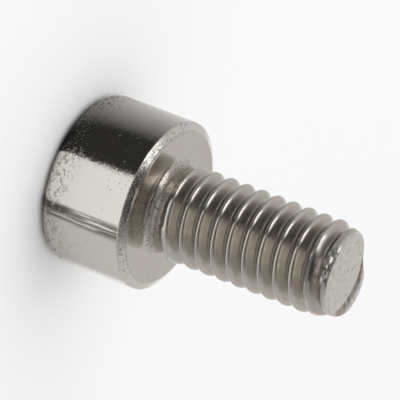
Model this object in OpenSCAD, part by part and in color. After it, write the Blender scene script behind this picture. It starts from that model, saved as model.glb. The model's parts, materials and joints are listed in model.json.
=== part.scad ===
// Socket head cap screw with a metric coarse thread, fully threaded, standing on its head.
// The origin is the centre of the head's flat top, and +Z runs along the axis to the tip.

/* [Head] */
// Diameter of the head
head_d = 6.85; // [6.4:0.05:9]
// Height of the head, from its flat top to the bearing face
head_h = 3.85; // [3.6:0.05:6]
// Radius of the rounded rim around the flat top
top_rim_r = 0.55; // [0.2:0.05:0.8]
// Width of the chamfer around the bearing face
lower_chamfer_w = 0.4; // [0.2:0.05:0.6]
// Height of the chamfer around the bearing face
lower_chamfer_h = 0.18; // [0.1:0.02:0.4]
// Radius of the rounded edge between that chamfer and the head's side
lower_edge_r = 0.2; // [0.05:0.05:0.4]

/* [Hex socket] */
// Width of the socket across its flats
socket_af = 3; // [2:0.1:3.4]
// Depth of the six flats
socket_depth = 2; // [1.2:0.1:2.5]
// Depth of the shallow cone that the forming punch leaves below the flats
socket_cone_h = 0.45; // [0.2:0.05:0.8]
// How far the countersink around the socket's mouth reaches past the hex corners
mouth_margin = 0.08; // [0.02:0.02:0.2]
// Full angle of that countersink
mouth_angle = 120; // [90:5:130]

/* [Shank] */
// Length from the bearing face to the tip
shank_l = 8; // [6:0.5:14]
// Radius of the fillet between the bearing face and the shank
fillet_r = 0.35; // [0.15:0.05:0.5]
// Length of the plain neck between the bearing face and the thread
neck_l = 0.6; // [0.55:0.05:1.2]
// Height over which the crests taper at the tip
tip_taper_h = 0.9; // [0.4:0.05:1.4]
// How much the taper takes off the radius at the tip
tip_taper_w = 0.28; // [0.15:0.01:0.4]
// Radius of the rounded edge of the tip's flat end
tip_edge_r = 0.2; // [0.05:0.05:0.3]

/* [Thread] */
// Diameter over the crests
thread_d = 3.85; // [3.5:0.05:5]
// Distance between neighbouring crests
pitch = 0.7; // [0.5:0.05:0.8]
// Angle between the two flanks of a groove
flank_angle = 60; // [55:1:60]
// Turn over which the groove fades out towards the head
runout_turn = 240; // [180:10:360]
// Where around the axis the groove leaves through the tip
tip_exit_angle = 140; // [-180:5:180]

/* [Hidden] */

// Facets of a circle, and of a rounded edge
$fn = 96;
edge_steps = 8;
// Flat steps that a turn of the thread is made of
steps_per_turn = 36;
// Steps of the rounded root of the groove
root_steps = 3;
// How far cutting shapes reach past the face that they cut
past = 1;

head_r = head_d / 2;
tip_z = head_h + shank_l;

// Thread form: a sharp triangle of height tri_h that is cut flat at the crest,
// and a root rounded by an arc that is tangent to both flanks.
half_angle = flank_angle / 2;
crest_r = thread_d / 2;
tri_h = pitch / 2 / tan(half_angle);
crest_flat = pitch / 8;
groove_half_w = (pitch - crest_flat) / 2;
root_r = tri_h / 6;
root_centre_depth = groove_half_w / tan(half_angle) - root_r / sin(half_angle);
groove_depth = root_centre_depth + root_r;

// The blank that the thread is rolled on is as thick as the pitch diameter, and so is the neck.
neck_r = crest_r - 3 / 8 * tri_h;
neck_top_z = head_h + neck_l;
shoulder_h = crest_r - neck_r;

// The cutter stands a little proud of the crests, and its turns stay clear of each other.
proud = pitch / 16;
cutter_half_w = groove_half_w + proud * tan(half_angle);
runout_lift = groove_depth + 2 * proud;
cutter_first_z = neck_top_z + shoulder_h / 2;
cutter_last_z = tip_z + pitch;
cutter_steps = ceil((cutter_last_z - cutter_first_z) / pitch * steps_per_turn);
cutter_first_angle = tip_exit_angle - 360 * (tip_z - cutter_first_z) / pitch;

// Half of the screw's section without socket and groove, as corners of [radius, height, rounding].
body_corners = [
  [0, 0, 0],
  [head_r, 0, top_rim_r],
  [head_r, head_h - lower_chamfer_h, lower_edge_r],
  [head_r - lower_chamfer_w, head_h, 0],
  [neck_r, head_h, fillet_r],
  [neck_r, neck_top_z, 0],
  [crest_r, neck_top_z + shoulder_h, 0],
  [crest_r, tip_z - tip_taper_h, 0],
  [crest_r - tip_taper_w, tip_z, tip_edge_r],
  [0, tip_z, 0],
];

function flat(corner) = [corner[0], corner[1]];

function unit(v) = v / norm(v);

// An arc of radius r that is tangent to both edges of the corner b, which lead to a and c.
function rounded_corner(a, b, c, r) =
  let (
    to_a = unit(a - b),
    to_c = unit(c - b),
    half = acos(to_a * to_c) / 2,
    centre = b + unit(to_a + to_c) * r / sin(half),
    first = b + to_a * r / tan(half) - centre,
    last = b + to_c * r / tan(half) - centre,
    from = atan2(first[1], first[0]),
    side = sign(first[0] * last[1] - first[1] * last[0]),
    sweep = side * (180 - 2 * half)
  )
  [for (i = [0 : edge_steps]) let (t = from + sweep * i / edge_steps) centre + r * [cos(t), sin(t)]];

function rounded(corners) = [
  for (i = [0 : len(corners) - 1])
    let (n = len(corners), r = corners[i][2], here = flat(corners[i]))
      each r == 0
        ? [here]
        : rounded_corner(flat(corners[(i + n - 1) % n]), here, flat(corners[(i + 1) % n]), r),
];

module socket() {
  hex_r = socket_af / 2 / cos(30);
  mouth_slope = tan(mouth_angle / 2);
  mouth_r = hex_r + mouth_margin;
  translate([0, 0, -past]) cylinder(r = hex_r, h = socket_depth + past, $fn = 6);
  translate([0, 0, socket_depth]) cylinder(r1 = socket_af / 2, r2 = 0, h = socket_cone_h);
  translate([0, 0, -past])
    cylinder(r1 = mouth_r + past * mouth_slope, r2 = 0, h = past + mouth_r / mouth_slope);
}

// Groove section as [radius, height], from its lower outer corner round the root to its upper one.
function groove_section() = [
  [crest_r + proud, -cutter_half_w],
  for (i = [0 : root_steps]) let (t = (2 * i / root_steps - 1) * (90 - half_angle))
    [crest_r - root_centre_depth - root_r * cos(t), root_r * sin(t)],
  [crest_r + proud, cutter_half_w],
];

// How far the cutter is drawn out of the shank at this turn, so that the groove fades near the head.
function lift(turn) = runout_lift * max(0, 1 - turn / runout_turn);

// The helical groove as one swept solid: one ring of points per step, joined by triangles.
module thread_cutter() {
  section = groove_section();
  n = len(section);
  points = [
    for (i = [0 : cutter_steps])
      let (turn = i * 360 / steps_per_turn, t = cutter_first_angle + turn)
        for (p = section)
          let (r = p[0] + lift(turn), z = cutter_first_z + pitch * turn / 360 + p[1])
            [r * cos(t), r * sin(t), z],
  ];
  sides = [
    for (i = [0 : cutter_steps - 1], j = [0 : n - 1])
      let (a = i * n + j, b = i * n + (j + 1) % n, c = a + n, d = b + n)
        each [[a, d, b], [a, c, d]],
  ];
  first_cap = [for (j = [0 : n - 1]) j];
  last_cap = [for (j = [n - 1 : -1 : 0]) cutter_steps * n + j];
  polyhedron(points, concat(sides, [first_cap, last_cap]));
}

module cap_screw() {
  color("silver") difference() {
    rotate_extrude() polygon(rounded(body_corners));
    socket();
    thread_cutter();
  }
}

cap_screw();
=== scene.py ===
import json
import math

import bpy
from mathutils import Matrix, Vector, noise


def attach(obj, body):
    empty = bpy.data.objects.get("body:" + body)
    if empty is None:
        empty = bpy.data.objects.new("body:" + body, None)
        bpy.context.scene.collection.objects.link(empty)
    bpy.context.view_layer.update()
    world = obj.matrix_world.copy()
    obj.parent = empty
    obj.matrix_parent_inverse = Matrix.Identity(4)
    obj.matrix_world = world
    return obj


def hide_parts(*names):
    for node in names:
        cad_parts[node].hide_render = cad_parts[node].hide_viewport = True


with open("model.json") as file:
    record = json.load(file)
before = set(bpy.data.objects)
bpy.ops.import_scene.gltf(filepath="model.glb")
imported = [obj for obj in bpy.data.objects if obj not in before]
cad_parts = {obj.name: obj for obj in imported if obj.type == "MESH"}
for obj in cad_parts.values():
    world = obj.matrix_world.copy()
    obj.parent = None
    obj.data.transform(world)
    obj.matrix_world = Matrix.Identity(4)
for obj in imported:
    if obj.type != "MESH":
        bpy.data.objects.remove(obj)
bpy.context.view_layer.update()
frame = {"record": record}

# Sizes in metres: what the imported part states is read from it, and the rest is named here. The lower chamfer
# and the small edges follow the photo more closely than the part's source does, by up to about 0.03 mm.
MM = 0.001
mounts = {m["name"]: m for m in frame["record"]["mounts"]}
HEAD_R = mounts["head"]["dims"]["r_mm"] * MM
HEAD_H = mounts["bearing_face"]["pos_m"][2]
TIP_Z = mounts["thread"]["pos_m"][2]
TOP_RIM_R = 0.55 * MM
LOWER_CHAMFER_W = 0.37 * MM
LOWER_CHAMFER_H = 0.2 * MM
LOWER_EDGE_R = 0.08 * MM
BEARING_EDGE_R = 0.05 * MM
SOCKET_AF = 3 * MM
SOCKET_DEPTH = 2 * MM
SOCKET_CONE_H = 0.45 * MM
MOUTH_MARGIN = 0.08 * MM
MOUTH_ANGLE = math.radians(120)
FILLET_R = 0.35 * MM
NECK_L = 0.6 * MM
TIP_TAPER_H = 0.9 * MM
TIP_TAPER_W = 0.28 * MM
TIP_EDGE_R = 0.13 * MM
CREST_R = 1.925 * MM
PITCH = 0.7 * MM
HALF_ANGLE = math.radians(30)
RUNOUT_TURN = math.radians(240)
TIP_EXIT_ANGLE = math.radians(140)

# Thread form with a rounded root and a rounded crest, both tangent to the flanks.
TRI_H = PITCH / 2 / math.tan(HALF_ANGLE)
GROOVE_HALF_W = PITCH * 7 / 16
ROOT_R = TRI_H / 6
ROOT_CENTRE_DEPTH = GROOVE_HALF_W / math.tan(HALF_ANGLE) - ROOT_R / math.sin(HALF_ANGLE)
ROOT_DEPTH = ROOT_CENTRE_DEPTH + ROOT_R
CREST_EDGE_R = (PITCH / 2 - GROOVE_HALF_W) / math.tan(HALF_ANGLE)
NECK_R = CREST_R - 3 / 8 * TRI_H
NECK_TOP_Z = HEAD_H + NECK_L
RUNOUT_FIRST_Z = NECK_TOP_Z + (CREST_R - NECK_R) / 2
RUNOUT_LIFT = ROOT_DEPTH + PITCH / 8

# Points around the axis, in a rounded edge, and in the parts of half a groove
COLUMNS = 288
ARC_STEPS = 8
ROOT_STEPS = 3
FLANK_STEPS = 3
CREST_STEPS = 3
ANGLES = [TIP_EXIT_ANGLE + 2 * math.pi * i / COLUMNS for i in range(COLUMNS)]
# Longest step along a section, and how near to a rounded edge the next row of points lies
ROW_STEP = 0.3 * MM
HOLD_STEP = 0.02 * MM
# Sizes of the rings on the tip's end as shares of its edge, and the angle from which an edge is sharp
END_SHARES = [0.98 - 0.02 * i for i in range(24)] + [0.4, 0.25, 0.1]
SHARP_ANGLE = math.radians(35)
# Rows on the socket's walls as shares of their height, and the size of its cone as a share of the flats
WALL_SHARES = (0.75, 0.5, 0.25, 0)
CONE_SHARE = 0.99


def groove_depth(offset):
    """Depth below the crests at this distance along the axis from the middle of the nearest groove."""
    off = abs(offset)
    to_crest = PITCH / 2 - off
    if off < ROOT_R * math.cos(HALF_ANGLE):
        return ROOT_CENTRE_DEPTH + math.sqrt(ROOT_R ** 2 - off ** 2)
    if to_crest < CREST_EDGE_R * math.cos(HALF_ANGLE):
        return CREST_EDGE_R - math.sqrt(CREST_EDGE_R ** 2 - to_crest ** 2)
    return (GROOVE_HALF_W - off) / math.tan(HALF_ANGLE)


def blank_radius(z):
    """Radius of the shank without its groove: neck, shoulder, crests, tapered tip with a rounded edge."""
    shoulder = NECK_R + max(0.0, z - NECK_TOP_Z)
    slope = TIP_TAPER_W / TIP_TAPER_H
    lean = math.atan(slope)
    taper = CREST_R - slope * max(0.0, z - (TIP_Z - TIP_TAPER_H))
    edge_z = TIP_Z - TIP_EDGE_R
    edge_r = CREST_R - TIP_TAPER_W + slope * TIP_EDGE_R - TIP_EDGE_R / math.cos(lean)
    rise = min(TIP_EDGE_R, max(0.0, z - edge_z))
    if rise > TIP_EDGE_R * math.sin(lean):
        taper = edge_r + math.sqrt(TIP_EDGE_R ** 2 - rise ** 2)
    return min(shoulder, CREST_R, taper)


def shank_radius(z, offset):
    """Radius of the threaded shank at this height and distance from the middle of the nearest groove."""
    run = 2 * math.pi * (z - offset - RUNOUT_FIRST_Z) / PITCH
    lift = RUNOUT_LIFT * max(0.0, 1 - run / RUNOUT_TURN)
    return min(blank_radius(z), CREST_R - groove_depth(offset) + lift)


def groove_offsets():
    """Distances from a groove's middle over one pitch, close together where the section bends."""
    bend = math.pi / 2 - HALF_ANGLE
    half = [ROOT_R * math.sin(bend * i / ROOT_STEPS) for i in range(ROOT_STEPS + 1)]
    flank_end = PITCH / 2 - CREST_EDGE_R * math.cos(HALF_ANGLE)
    flank = flank_end - half[-1]
    half += [half[-1] + flank * i / FLANK_STEPS for i in range(1, FLANK_STEPS)]
    half += [
        PITCH / 2 - CREST_EDGE_R * math.sin(bend * (CREST_STEPS - i) / CREST_STEPS)
        for i in range(CREST_STEPS + 1)
    ]
    return [-x for x in half[:0:-1]] + half[:-1]


def hex_radius(angle):
    """Distance from the axis to the socket's walls."""
    return SOCKET_AF / 2 / math.cos(angle % (math.pi / 3) - math.pi / 6)


def rounded(before, corner, after, radius):
    """Points of an arc that is tangent to both edges of a corner of the section."""
    to_a = (Vector(before) - Vector(corner)).normalized()
    to_b = (Vector(after) - Vector(corner)).normalized()
    half = to_a.angle(to_b) / 2
    centre = Vector(corner) + (to_a + to_b).normalized() * radius / math.sin(half)
    first = Vector(corner) + to_a * radius / math.tan(half) - centre
    sweep = math.copysign(math.pi - 2 * half, to_b.cross(to_a))
    turns = [sweep * i / ARC_STEPS for i in range(ARC_STEPS + 1)]
    return [tuple(centre + Matrix.Rotation(t, 2) @ first) for t in turns]


def filled(points):
    """The section with points added on its straight runs: close to both ends, then at even steps."""
    made = [points[0]]
    for start, end in zip(points, points[1:]):
        start, end = Vector(start), Vector(end)
        length = (end - start).length
        if length > 4 * HOLD_STEP:
            inner = length - 2 * HOLD_STEP
            count = math.ceil(inner / ROW_STEP)
            stops = [HOLD_STEP + inner * i / count for i in range(count + 1)]
            made += [tuple(start.lerp(end, s / length)) for s in stops]
        made.append(tuple(end))
    return made


def head_section():
    """The head's section as (radius, height), from the socket's mouth round the side to the neck."""
    mouth = (SOCKET_AF / 2 / math.cos(math.pi / 6) + MOUTH_MARGIN, 0.0)
    corners = [
        (mouth, 0.0),
        ((HEAD_R, 0.0), TOP_RIM_R),
        ((HEAD_R, HEAD_H - LOWER_CHAMFER_H), LOWER_EDGE_R),
        ((HEAD_R - LOWER_CHAMFER_W, HEAD_H), BEARING_EDGE_R),
        ((NECK_R, HEAD_H), FILLET_R),
        ((NECK_R, NECK_TOP_Z), 0.0),
    ]
    points = [mouth]
    for (before, _), (corner, radius), (after, _) in zip(corners, corners[1:], corners[2:]):
        points += rounded(before, corner, after, radius)
    return filled(points)


class Skin:
    """Points and faces of the screw's surface, grown row by row."""

    def __init__(self):
        self.points = []
        self.faces = []

    def row(self, radii, heights):
        first = len(self.points)
        for angle, r, z in zip(ANGLES, radii, heights):
            self.points.append((r * math.cos(angle), r * math.sin(angle), z))
        return list(range(first, first + COLUMNS))

    def ring(self, r, z):
        return self.row([r] * COLUMNS, [z] * COLUMNS)

    def face(self, *corners):
        kept = list(dict.fromkeys(corners))
        if len(kept) > 2:
            self.faces.append(kept)

    def join(self, row, following):
        for i in range(COLUMNS):
            j = (i + 1) % COLUMNS
            self.face(row[i], row[j], following[j], following[i])

    def close(self, row, z, upward):
        centre = len(self.points)
        self.points.append((0.0, 0.0, z))
        for i in range(COLUMNS):
            a, b = row[i], row[(i + 1) % COLUMNS]
            self.face(centre, a, b) if upward else self.face(centre, b, a)


def add_socket(skin):
    """The hex socket, from its cone to its countersunk mouth. Returns the row on the flat top."""
    hexes = [hex_radius(a) for a in ANGLES]
    mouth_r = max(hexes) + MOUTH_MARGIN
    edge_z = [(mouth_r - r) / math.tan(MOUTH_ANGLE / 2) for r in hexes]
    cone = skin.ring(SOCKET_AF / 2 * CONE_SHARE, SOCKET_DEPTH)
    skin.close(cone, SOCKET_DEPTH + SOCKET_CONE_H, upward=False)
    rows = [cone, skin.row(hexes, [SOCKET_DEPTH] * COLUMNS)]
    for share in WALL_SHARES:
        rows.append(skin.row(hexes, [z + (SOCKET_DEPTH - z) * share for z in edge_z]))
    rows.append(skin.ring(mouth_r, 0.0))
    for row, following in zip(rows, rows[1:]):
        skin.join(row, following)
    return rows[-1]


def add_head(skin, mouth):
    """The head around the socket. Returns the row at the neck."""
    last = mouth
    for r, z in head_section()[1:]:
        row = skin.ring(r, z)
        skin.join(last, row)
        last = row
    return last


def add_shank(skin, neck):
    """The threaded shank, its rows along the helix. Returns the row at the edge of the tip's end."""
    offsets = groove_offsets()
    per_turn = len(offsets)
    neck_z = skin.points[neck[0]][2]
    first_turn = math.floor((neck_z - TIP_Z) / PITCH - 1.5)
    count = (2 - first_turn) * per_turn
    grid = []
    for i, angle in enumerate(ANGLES):
        column = []
        for k in range(count):
            offset = offsets[k % per_turn]
            z = TIP_Z + PITCH * (i / COLUMNS + first_turn + k // per_turn) + offset
            if neck_z + HOLD_STEP / 2 < z < TIP_Z - HOLD_STEP / 2:
                r = shank_radius(z, offset)
                column.append(len(skin.points))
                skin.points.append((r * math.cos(angle), r * math.sin(angle), z))
            else:
                column.append(None)
        grid.append(column)
    ends = [((0.5 - i / COLUMNS) % 1.0 - 0.5) * PITCH for i in range(COLUMNS)]
    tip = skin.row([shank_radius(TIP_Z, offset) for offset in ends], [TIP_Z] * COLUMNS)

    def point(i, k):
        if i == COLUMNS:
            i, k = 0, k + per_turn
        if k < count and grid[i][k] is not None:
            return grid[i][k]
        return neck[i] if k < count / 2 else tip[i]

    for i in range(COLUMNS):
        for k in range(count):
            skin.face(point(i, k), point(i + 1, k), point(i + 1, k + 1), point(i, k + 1))
    return tip


def add_end(skin, tip):
    """The end of the tip, with rings close together where it is worn."""
    last = tip
    for share in END_SHARES:
        radii = [Vector(skin.points[i]).xy.length * share for i in tip]
        row = skin.row(radii, [TIP_Z] * COLUMNS)
        skin.join(last, row)
        last = row
    skin.close(last, TIP_Z, upward=True)


# Wear at the tip: a crease around a flat disc, a rough crescent-shaped dent along the far edge with its lip
# pushed out, a bite out of that edge, and the last ridge folded into slivers. Angles are degrees around the
# axis.
CREASE_R = 1.2 * MM
CREASE_HALF_W = 0.06 * MM
CREASE_DEPTH = 0.006 * MM
DENT_CENTRE = Vector((-0.13 * MM, -0.98 * MM))
DENT_INNER_R = 1.96 * MM
DENT_ANGLES = (8, 138)
DENT_FADE = 12
DENT_EDGE_W = 0.05 * MM
DENT_W = 0.58 * MM
DENT_DEPTH = 0.24 * MM
DENT_ROUGH_DEPTH = 0.06 * MM
DENT_ROUGH_SIZE = 0.22 * MM
LIP_ANGLES = (-5, 105)
LIP_OUT = 0.2 * MM
LIP_H = 0.35 * MM
BITE_ANGLES = (84, 180)
BITE_DEPTH = 0.37 * MM
BITE_H = 0.5 * MM
FOLD_ANGLES = (-124, -58)
FOLD_HEIGHTS = (TIP_Z - 0.5 * MM, TIP_Z + 0.06 * MM)
FOLD_SINK = 0.1 * MM
FOLD_DEPTH = 0.4 * MM
FOLD_LENGTH = 1.0 * MM
FOLD_WIDTH = 0.1 * MM
FOLD_SEED = 0.5
# Radius inside which the lip, bite and folds die away, and how fast
TIP_FLAT_R = 1.55 * MM
EDGE_POWER = 4
FOLD_POWER = 12


def hump(value, start, end):
    """Rises from 0 at the start to 1 halfway and falls to 0 at the end."""
    share = (value - start) / (end - start)
    return math.sin(math.pi * share) ** 2 if 0 < share < 1 else 0.0


def dent_depth(x, y, around):
    """Depth of the dent: a drop at its inner edge, then a rough rise that levels off towards the lip."""
    beyond = (Vector((x, y)) - DENT_CENTRE).length - DENT_INNER_R
    to_end = min(around - DENT_ANGLES[0], DENT_ANGLES[1] - around)
    if not 0 < beyond < DENT_W or to_end < 0:
        return 0.0
    left = 1 - beyond / DENT_W
    rough = DENT_ROUGH_DEPTH * noise.noise(Vector((x, y, 0)) / DENT_ROUGH_SIZE)
    return (DENT_DEPTH * left ** 3 + rough * left) * min(1.0, beyond / DENT_EDGE_W, to_end / DENT_FADE)


def fold_height(around, z):
    """Height of the slivers that the last ridge is folded into, which run along the thread."""
    along = math.radians(around) * CREST_R / FOLD_LENGTH
    across = (z - PITCH * around / 360) / FOLD_WIDTH
    slivers = FOLD_DEPTH * noise.noise(Vector((along, across, FOLD_SEED))) - FOLD_SINK
    return slivers * hump(around, *FOLD_ANGLES) * hump(z, *FOLD_HEIGHTS)


def worn(point):
    """Moves a point near the tip to where the wear has left it."""
    x, y, z = point
    below = TIP_Z - z
    if below > BITE_H and z < FOLD_HEIGHTS[0]:
        return point
    r = math.hypot(x, y)
    around = math.degrees(math.atan2(y, x))
    sunk = 0.0
    if below < HOLD_STEP / 4:
        sunk = CREASE_DEPTH * hump(r, CREASE_R - CREASE_HALF_W, CREASE_R + CREASE_HALF_W)
        sunk += dent_depth(x, y, around)
    bite = BITE_DEPTH * hump(around, *BITE_ANGLES) * max(0.0, 1 - below / BITE_H)
    lip = LIP_OUT * hump(around, *LIP_ANGLES) * max(0.0, 1 - below / LIP_H)
    outer = min(1.0, r / TIP_FLAT_R)
    moved = r + (lip - bite) * outer ** EDGE_POWER + fold_height(around, z) * outer ** FOLD_POWER
    share = moved / r if r > 0 else 1.0
    return x * share, y * share, z - sunk


def make_screw():
    skin = Skin()
    neck = add_head(skin, add_socket(skin))
    add_end(skin, add_shank(skin, neck))
    mesh = bpy.data.meshes.new("plated_screw")
    mesh.from_pydata([worn(point) for point in skin.points], [], skin.faces)
    mesh.shade_smooth()
    mesh.set_sharp_from_angle(angle=SHARP_ANGLE)
    screw = bpy.data.objects.new("plated_screw", mesh)
    bpy.context.scene.collection.objects.link(screw)
    return screw


screw = make_screw()
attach(screw, "root")
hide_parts("cap_screw")


# Camera at the photograph's view: angle of the line of sight to the axis, roll, distance to the bearing
# face's centre, where that centre lies in the picture, and pixels for a millimetre there.
IMAGE_SIZE = 400
SIGHT_ANGLE = 1.1248
ROLL = 0.3642
DISTANCE = 234 * MM
CENTRE_U = 169.95
CENTRE_V = 207.45
PIXELS_PER_MM = 25.97
SENSOR_WIDTH = 36
# How many times nearer and farther than the screw the camera sees
CLIP_RATIO = 100


def make_camera():
    data = bpy.data.cameras.new("camera")
    focal = PIXELS_PER_MM / MM * DISTANCE
    data.sensor_width = SENSOR_WIDTH
    data.lens = focal * SENSOR_WIDTH / IMAGE_SIZE
    data.clip_start = DISTANCE / CLIP_RATIO
    data.clip_end = DISTANCE * CLIP_RATIO
    s, c = math.sin(SIGHT_ANGLE), math.cos(SIGHT_ANGLE)
    right = Vector((-math.sin(ROLL), c * math.cos(ROLL), s * math.cos(ROLL)))
    down = Vector((math.cos(ROLL), c * math.sin(ROLL), s * math.sin(ROLL)))
    ahead = Vector((0, s, -c))
    aside = (CENTRE_U - IMAGE_SIZE / 2) / focal * DISTANCE
    below = (CENTRE_V - IMAGE_SIZE / 2) / focal * DISTANCE
    place = Vector((0, 0, HEAD_H)) - right * aside - down * below - ahead * DISTANCE
    camera = bpy.data.objects.new("camera", data)
    camera.matrix_world = Matrix.Translation(place) @ Matrix((right, -down, -ahead)).transposed().to_4x4()
    bpy.context.scene.collection.objects.link(camera)
    bpy.context.scene.camera = camera


make_camera()


def new_node(tree, kind, **settings):
    node = tree.nodes.new(kind)
    for name, value in settings.items():
        setattr(node, name, value)
    return node


def set_ramp(node, stops):
    """Sets both ends of a new colour ramp to (position, grey) stops."""
    for stop, (position, grey) in zip(node.color_ramp.elements, stops):
        stop.position = position
        stop.color = (grey, grey, grey, 1)


def plain_material(name, grey):
    material = bpy.data.materials.new(name)
    material.use_nodes = True
    shader = material.node_tree.nodes["Principled BSDF"]
    shader.inputs["Base Color"].default_value = (grey, grey, grey, 1)
    shader.inputs["Roughness"].default_value = MATT
    shader.inputs["Specular IOR Level"].default_value = 0.0
    return material


def new_object(name, points, faces, material):
    mesh = bpy.data.meshes.new(name)
    mesh.from_pydata(points, [], faces)
    mesh.materials.append(material)
    made = bpy.data.objects.new(name, mesh)
    bpy.context.scene.collection.objects.link(made)
    return made


# Studio: a pale floor, a soft lamp from above, a dome that is lighter on the far side and darker overhead,
# one strip light, and three cards.
MATT = 0.9
FLOOR_SIZE = 2.0
FLOOR_COLOUR = 0.95
LAMP_STRENGTH = 1.6
LAMP_ANGLE = math.radians(80)


def make_floor():
    half = FLOOR_SIZE / 2
    corners = [(-half, -half, 0), (half, -half, 0), (half, half, 0), (-half, half, 0)]
    floor = new_object("floor", corners, [(0, 1, 2, 3)], plain_material("floor", FLOOR_COLOUR))


def make_lamp():
    data = bpy.data.lights.new("soft_lamp", "SUN")
    data.energy = LAMP_STRENGTH
    data.angle = LAMP_ANGLE
    lamp = bpy.data.objects.new("soft_lamp", data)
    lamp.visible_glossy = False
    bpy.context.scene.collection.objects.link(lamp)


# The strip light, from its low end in front to its high end behind, as seen from the screw
STRIP_ENDS = (Vector((-0.664, -0.664, 0.342)), Vector((-0.35, 0.3, 0.888)))
STRIP_DISTANCE = 0.3
STRIP_WIDTH = 0.1
STRIP_BRIGHTNESS = 1.2


def make_strip():
    low_end, high_end = (end * STRIP_DISTANCE for end in STRIP_ENDS)
    data = bpy.data.lights.new("strip_light", "AREA")
    data.shape = "RECTANGLE"
    data.size = (high_end - low_end).length
    data.size_y = STRIP_WIDTH
    data.energy = math.pi * data.size * data.size_y * STRIP_BRIGHTNESS
    middle = (low_end + high_end) / 2
    along = (high_end - low_end).normalized()
    away = (middle - along * middle.dot(along)).normalized()
    turn = Matrix((along, away.cross(along), away)).transposed().to_4x4()
    strip = bpy.data.objects.new("strip_light", data)
    strip.matrix_world = Matrix.Translation(middle) @ turn
    bpy.context.scene.collection.objects.link(strip)


# The dome: an even rise from low on the near side to the far side, and a fall towards the top
DOME_FACING = (0.0, 0.9, 0.436)
DOME_LEVELS = [(0.0, 0.12), (1.0, 0.68)]
DOME_TOP = [(0.75, 1.0), (0.98, 0.08)]


def make_world():
    world = bpy.data.worlds.new("dome")
    world.use_nodes = True
    tree = world.node_tree
    direction = new_node(tree, "ShaderNodeTexCoord").outputs["Generated"]
    facing = new_node(tree, "ShaderNodeVectorMath", operation="DOT_PRODUCT")
    facing.inputs[1].default_value = DOME_FACING
    place = new_node(tree, "ShaderNodeMapRange")
    place.inputs["From Min"].default_value = -1
    levels = new_node(tree, "ShaderNodeValToRGB")
    set_ramp(levels, DOME_LEVELS)
    split = new_node(tree, "ShaderNodeSeparateXYZ")
    top = new_node(tree, "ShaderNodeValToRGB")
    set_ramp(top, DOME_TOP)
    both = new_node(tree, "ShaderNodeMix", data_type="RGBA", blend_type="MULTIPLY")
    both.inputs["Factor"].default_value = 1
    tree.links.new(direction, facing.inputs[0])
    tree.links.new(facing.outputs["Value"], place.inputs["Value"])
    tree.links.new(place.outputs["Result"], levels.inputs["Fac"])
    tree.links.new(direction, split.inputs[0])
    tree.links.new(split.outputs["Z"], top.inputs["Fac"])
    tree.links.new(levels.outputs["Color"], both.inputs[6])
    tree.links.new(top.outputs["Color"], both.inputs[7])
    tree.links.new(both.outputs[2], tree.nodes["Background"].inputs["Color"])
    bpy.context.scene.world = world


# Three square cards that lie on the floor and that only reflections see: a dark one at the front left, one
# beside it that fades evenly from the floor's colour to dark, and a grey one at the right. Each has one
# corner beside the head, and its sides run away from there.
CARD_SIZE = 120 * MM
CARD_DARK = 0.03
CARDS = {
    "dark_card": {
        "corner": (-0.4 * MM, -2.84 * MM, 0.004 * MM),
        "heading": math.radians(160),
        "grey": CARD_DARK,
    },
    "left_card": {
        "corner": (-0.4 * MM, -2.84 * MM, 0.008 * MM),
        "heading": math.radians(100),
        "grey": FLOOR_COLOUR,
        "fades_to": CARD_DARK,
    },
    "right_card": {
        "corner": (2.0 * MM, -3.14 * MM, 0.004 * MM),
        "heading": math.radians(-30),
        "grey": 0.65,
    },
}
# Where a turn from a card's first side to its second one lies in the radial gradient around its corner
CARD_TURN = (0.5, 0.75)


def fade_around_corner(material, greys):
    """Makes the material fade around the card's corner, from the first side's grey to the second one's."""
    tree = material.node_tree
    turn = new_node(tree, "ShaderNodeTexGradient", gradient_type="RADIAL")
    fade = new_node(tree, "ShaderNodeValToRGB")
    set_ramp(fade, zip(CARD_TURN, greys))
    tree.links.new(new_node(tree, "ShaderNodeTexCoord").outputs["Object"], turn.inputs["Vector"])
    tree.links.new(turn.outputs["Fac"], fade.inputs["Fac"])
    tree.links.new(fade.outputs["Color"], tree.nodes["Principled BSDF"].inputs["Base Color"])


def make_card(name, corner, heading, grey, fades_to=None):
    material = plain_material(name, grey)
    if fades_to is not None:
        fade_around_corner(material, (grey, fades_to))
    square = [(0, 0, 0), (CARD_SIZE, 0, 0), (CARD_SIZE, CARD_SIZE, 0), (0, CARD_SIZE, 0)]
    card = new_object(name, square, [(0, 1, 2, 3)], material)
    card.location = corner
    card.rotation_euler.z = heading
    card.visible_camera = False
    card.visible_diffuse = False
    card.visible_shadow = False
    card.visible_transmission = False


# The plating when clean, dulled, dirty and pitted, and how far some places go towards the dulled or dirty
# colour; the dirty colour also gives painted shade in the groove roots, and the dulled colour painted shade in
# the dent's deeper part
CLEAN = (0.76, 0.725, 0.68)
DULL_AND_SHADE = (0.45, 0.395, 0.335)
DIRT_AND_SHADE = (0.1, 0.085, 0.07)
PIT = (0.3, 0.28, 0.26)
GROOVE_DULLNESS = 0.62
CREST_DULLNESS = 0.4
# Painted shade in the dent's deeper part: how far it goes towards the dulled colour
DENT_SHADE = 0.7
# Painted shade in the groove roots, partly real grime: how far the roots go towards the dirty colour
ROOT_SHADE_AND_DIRT = 0.6
SCRATCH_STRENGTH = 0.8

# Noise as features per millimetre across the axis and along it, and its detail
WAVES = (4.0, 11.0, 4)
DRAW_LINES = (16.0, 0.5, 2)
PATCHES = (5.0, 8.0, 6)
SPECKS = (11.0, 11.0, 3)
SCUFFS = (15.0, 11.0, 4)
CLUSTERS = (1.1, 1.1, 1)
PITS_PER_MM = 6.0

# Depths of the marks in millimetres
WAVE_DEPTH = 0.011
SHANK_WAVE_DEPTH = 0.0004
DRAW_LINE_DEPTH = 0.0012
PIT_DEPTH = 0.01

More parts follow.
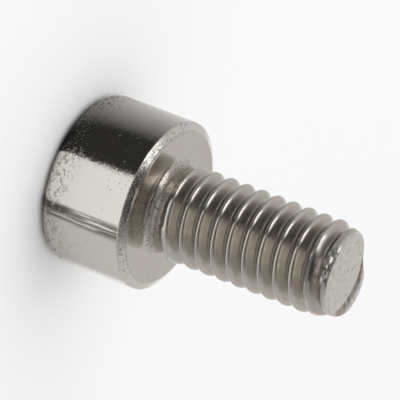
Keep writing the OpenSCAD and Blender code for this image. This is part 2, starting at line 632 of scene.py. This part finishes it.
# Where each kind of mark lies, in millimetres and in degrees around the axis: with four values it grows over
# the first two and fades over the last two, and with two values it only grows or only fades
HEAD_MM = HEAD_H / MM
NECK_TOP_MM = NECK_TOP_Z / MM
TIP_MM = TIP_Z / MM
FOLD_LOW_MM, FOLD_HIGH_MM = (height / MM for height in FOLD_HEIGHTS)
HEAD_END_Z = (HEAD_MM - 0.06, HEAD_MM - 0.01)
SCRATCH_ANGLES = (-68, -64, -58, -53)
SMEAR_ANGLES = (-68, -65, -62, -58)
SMEAR_Z = (1.0, 2.4)
STREAK_END_Z = (HEAD_MM - 0.27, HEAD_MM - 0.22)
RIM_DIRT_Z = (-0.05, 0.15, 0.15, 1.6)
RIM_DIRT_R = (2.9, 3.2)
CHAMFER_DIRT_Z = (HEAD_MM - 0.24, HEAD_MM - 0.19, HEAD_MM - 0.02, HEAD_MM)
CHAMFER_DIRT_ANGLES = (-175, -150, -40, -10)
NECK_DIRT_Z = (HEAD_MM, HEAD_MM + 0.02, HEAD_MM + 0.02, NECK_TOP_MM + 0.7)
NECK_DIRT_R = (1.75, 2.15)
FOLD_DIRT_ANGLES = (FOLD_ANGLES[0], FOLD_ANGLES[0] + 15, FOLD_ANGLES[1] - 15, FOLD_ANGLES[1])
FOLD_DIRT_Z = (FOLD_LOW_MM, FOLD_LOW_MM + 0.15, FOLD_HIGH_MM - 0.15, FOLD_HIGH_MM)
FOLD_DIRT_R = (1.38, 1.46)
# Where the dent's deeper part gets painted shade and more roughness
DENT_SHADE_ANGLES = (DENT_ANGLES[0], DENT_ANGLES[0] + DENT_FADE, DENT_ANGLES[1] - DENT_FADE, DENT_ANGLES[1])
DENT_SHADE_Z = (TIP_MM - 0.25, TIP_MM - 0.2, TIP_MM - 0.03, TIP_MM - 0.01)
DULL_END_Z = (TIP_MM - 0.16, TIP_MM - 0.14)
END_Z = (TIP_MM - 0.03, TIP_MM - 0.01)
CREST_SHINE_R = (CREST_R / MM - 0.2, CREST_R / MM - 0.04)
ROOT_MM = (CREST_R - ROOT_DEPTH) / MM
# Radii over which the painted shade and grime in the groove roots fade out
ROOT_SHADE_AND_DIRT_R = (ROOT_MM, ROOT_MM + 0.05)

# Which values of the noise show as marks, some with the strength that they start and end at
PIT_CHOICE = (0.45, 0.5)
PIT_SIZE = (0.02, 0.22)
PIT_CLUSTERS = (0.48, 0.6)
RIM_SPOTS = (0.53, 0.62)
RIM_PATCHES = (0.47, 0.57)
RIM_BLOTS = (0.5, 0.62, 0.0, 0.55)
CHAMFER_SPOTS = (0.6, 0.68)
CHAMFER_BLOTS = (0.54, 0.66, 0.0, 0.4)
CHAMFER_SHARES = (0.15, 1.0)
NECK_SPOTS = (0.5, 0.66, 0.0, 0.64)
SCRATCH_LINES = (0.36, 0.52)
SMEAR_SPOTS = (0.32, 0.48, 0.6, 1.0)
FOLD_SPOTS = (0.5, 0.58, 0.0, 0.8)
END_SMUDGES = (0.5, 0.65, 0.0, 0.4)
MOTTLE = (0.3, 0.7)
DULL_MOTTLE = (0.9, 1.1)

HEAD_ROUGHNESS = 0.09
GROOVE_ROUGHNESS = 0.27
CREST_ROUGHNESS = 0.12
MOTTLE_ROUGHNESS = 0.08
DIRT_ROUGHNESS = 0.2
DENT_ROUGHNESS = 0.15
PIT_ROUGHNESS = 0.4


def make_metal():
    material = bpy.data.materials.new("plated_steel")
    material.use_nodes = True
    tree = material.node_tree
    shader = tree.nodes["Principled BSDF"]
    shader.inputs["Metallic"].default_value = 1

    def put(socket, value):
        if isinstance(value, bpy.types.NodeSocket):
            tree.links.new(value, socket)
        else:
            socket.default_value = value

    def calc(operation, *values):
        node = new_node(tree, "ShaderNodeMath", operation=operation)
        for socket, value in zip(node.inputs, values):
            put(socket, value)
        return node.outputs["Value"]

    def vector(operation, first, second):
        node = new_node(tree, "ShaderNodeVectorMath", operation=operation)
        put(node.inputs[0], first)
        put(node.inputs[1], second)
        return node.outputs["Vector"]

    def step(value, start, end, low=0.0, high=1.0):
        node = new_node(tree, "ShaderNodeMapRange", interpolation_type="SMOOTHSTEP")
        names = ("Value", "From Min", "From Max", "To Min", "To Max")
        for name, given in zip(names, (value, start, end, low, high)):
            put(node.inputs[name], given)
        return node.outputs["Result"]

    def window(value, a, b, c, d):
        return calc("MULTIPLY", step(value, a, b), step(value, c, d, 1.0, 0.0))

    def mix(factor, first, second):
        node = new_node(tree, "ShaderNodeMix", data_type="RGBA")
        put(node.inputs[0], factor)
        put(node.inputs[6], first)
        put(node.inputs[7], second)
        return node.outputs[2]

    def grain(across, along, detail):
        node = new_node(tree, "ShaderNodeTexNoise")
        put(node.inputs["Vector"], vector("MULTIPLY", place, (across, across, along)))
        node.inputs["Scale"].default_value = 1
        node.inputs["Detail"].default_value = detail
        return node.outputs["Fac"]

    place = vector("MULTIPLY", new_node(tree, "ShaderNodeTexCoord").outputs["Object"], (1 / MM,) * 3)
    split = new_node(tree, "ShaderNodeSeparateXYZ")
    put(split.inputs[0], place)
    x, y, z = (split.outputs[name] for name in "XYZ")
    around = calc("DEGREES", calc("ARCTAN2", y, x))

    waves = grain(*WAVES)
    lines = grain(*DRAW_LINES)
    patches = grain(*PATCHES)
    specks = grain(*SPECKS)
    cells = new_node(tree, "ShaderNodeTexVoronoi")
    put(cells.inputs["Vector"], place)
    cells.inputs["Scale"].default_value = PITS_PER_MM
    picked = new_node(tree, "ShaderNodeSeparateColor")
    put(picked.inputs[0], cells.outputs["Color"])
    scuffs = grain(*SCUFFS)
    head = step(z, *HEAD_END_Z, 1.0, 0.0)
    pitted = calc("MULTIPLY", head, step(grain(*CLUSTERS), *PIT_CLUSTERS))
    pitted = calc("MULTIPLY", pitted, step(picked.outputs[0], *PIT_CHOICE))
    pits = calc("MULTIPLY", pitted, step(cells.outputs["Distance"], *PIT_SIZE, 1.0, 0.0))

    radius = calc("SQRT", calc("ADD", calc("MULTIPLY", x, x), calc("MULTIPLY", y, y)))
    rim = calc("MULTIPLY", window(z, *RIM_DIRT_Z), step(radius, *RIM_DIRT_R))
    rim_dirt = calc("MULTIPLY", rim, step(patches, *RIM_BLOTS))
    rim_scuffs = calc("MULTIPLY", rim, step(patches, *RIM_PATCHES))
    rim_scuffs = calc("MULTIPLY", rim_scuffs, step(scuffs, *RIM_SPOTS))
    chamfer_share = step(window(around, *CHAMFER_DIRT_ANGLES), 0.0, 1.0, *CHAMFER_SHARES)
    chamfer = calc("MULTIPLY", window(z, *CHAMFER_DIRT_Z), chamfer_share)
    chamfer_dirt = calc("MULTIPLY", chamfer, step(patches, *CHAMFER_BLOTS))
    chamfer_scuffs = calc("MULTIPLY", chamfer, step(scuffs, *CHAMFER_SPOTS))
    pits = calc("MAXIMUM", pits, calc("MAXIMUM", rim_scuffs, chamfer_scuffs))
    neck = calc("MULTIPLY", window(z, *NECK_DIRT_Z), step(radius, *NECK_DIRT_R, 1.0, 0.0))
    neck_dirt = calc("MULTIPLY", neck, step(specks, *NECK_SPOTS))
    scratched = calc("MULTIPLY", window(around, *SCRATCH_ANGLES), step(lines, *SCRATCH_LINES))
    scratched = calc("MULTIPLY", scratched, step(z, *STREAK_END_Z, SCRATCH_STRENGTH, 0.0))
    smear = calc("MULTIPLY", window(around, *SMEAR_ANGLES), step(z, *SMEAR_Z, 1.0, 0.0))
    smear = calc("MULTIPLY", smear, step(patches, *SMEAR_SPOTS))
    smear = calc("MULTIPLY", smear, step(radius, *RIM_DIRT_R))
    marks = calc("MAXIMUM", calc("MAXIMUM", rim_dirt, chamfer_dirt), calc("MAXIMUM", scratched, smear))
    fold = calc("MULTIPLY", window(around, *FOLD_DIRT_ANGLES), window(z, *FOLD_DIRT_Z))
    fold = calc("MULTIPLY", fold, step(radius, *FOLD_DIRT_R))
    fold_dirt = calc("MULTIPLY", fold, step(patches, *FOLD_SPOTS))
    shank = calc("MULTIPLY", calc("SUBTRACT", 1.0, head), step(z, *DULL_END_Z, 1.0, 0.0))
    # Painted shade in the groove roots, partly real grime
    root_shade_and_dirt = calc("MULTIPLY", shank, step(radius, *ROOT_SHADE_AND_DIRT_R, ROOT_SHADE_AND_DIRT, 0.0))
    # Marks and grime, with the painted shade in the groove roots
    dirt_and_shade = calc("MAXIMUM", calc("MAXIMUM", marks, root_shade_and_dirt), calc("MAXIMUM", neck_dirt, fold_dirt))

    dull_and_shade = step(radius, *CREST_SHINE_R, GROOVE_DULLNESS, CREST_DULLNESS)
    dull_and_shade = calc("MULTIPLY", dull_and_shade, step(patches, *MOTTLE, *DULL_MOTTLE))
    dull_and_shade = calc("MULTIPLY", calc("MULTIPLY", dull_and_shade, shank), calc("SUBTRACT", 1.0, fold))
    # Painted shade in the dent's deeper part; the same mask also makes it rougher
    dent = calc("MULTIPLY", window(around, *DENT_SHADE_ANGLES), window(z, *DENT_SHADE_Z))
    smudges = calc("MULTIPLY", step(z, *END_Z), step(patches, *END_SMUDGES))
    dull_and_shade = calc("MAXIMUM", dull_and_shade, calc("MAXIMUM", smudges, calc("MULTIPLY", dent, DENT_SHADE)))
    # Colour: the plating dulled, dirty and pitted, with painted shade in the dent and the groove roots
    colour = mix(dirt_and_shade, mix(dull_and_shade, (*CLEAN, 1), (*DULL_AND_SHADE, 1)), (*DIRT_AND_SHADE, 1))
    put(shader.inputs["Base Color"], mix(pits, colour, (*PIT, 1)))

    shank_finish = step(radius, *CREST_SHINE_R, GROOVE_ROUGHNESS, CREST_ROUGHNESS)
    finish = step(head, 0.0, 1.0, shank_finish, HEAD_ROUGHNESS)
    finish = calc("ADD", finish, step(patches, *MOTTLE, 0.0, MOTTLE_ROUGHNESS))
    finish = calc("ADD", finish, calc("MULTIPLY", dirt_and_shade, DIRT_ROUGHNESS))
    finish = calc("ADD", finish, calc("MULTIPLY", dent, DENT_ROUGHNESS))
    put(shader.inputs["Roughness"], calc("ADD", finish, calc("MULTIPLY", pits, PIT_ROUGHNESS)))

    height = calc("MULTIPLY", waves, step(head, 0.0, 1.0, SHANK_WAVE_DEPTH, WAVE_DEPTH))
    height = calc("ADD", height, calc("MULTIPLY", lines, DRAW_LINE_DEPTH))
    height = calc("SUBTRACT", height, calc("MULTIPLY", pits, PIT_DEPTH))
    bump = new_node(tree, "ShaderNodeBump")
    bump.inputs["Distance"].default_value = MM
    put(bump.inputs["Height"], height)
    put(shader.inputs["Normal"], bump.outputs["Normal"])
    screw.data.materials.append(material)


make_floor()
make_lamp()
make_strip()
make_world()
for name, settings in CARDS.items():
    make_card(name, **settings)
make_metal()
bpy.context.scene.view_settings.view_transform = "Standard"
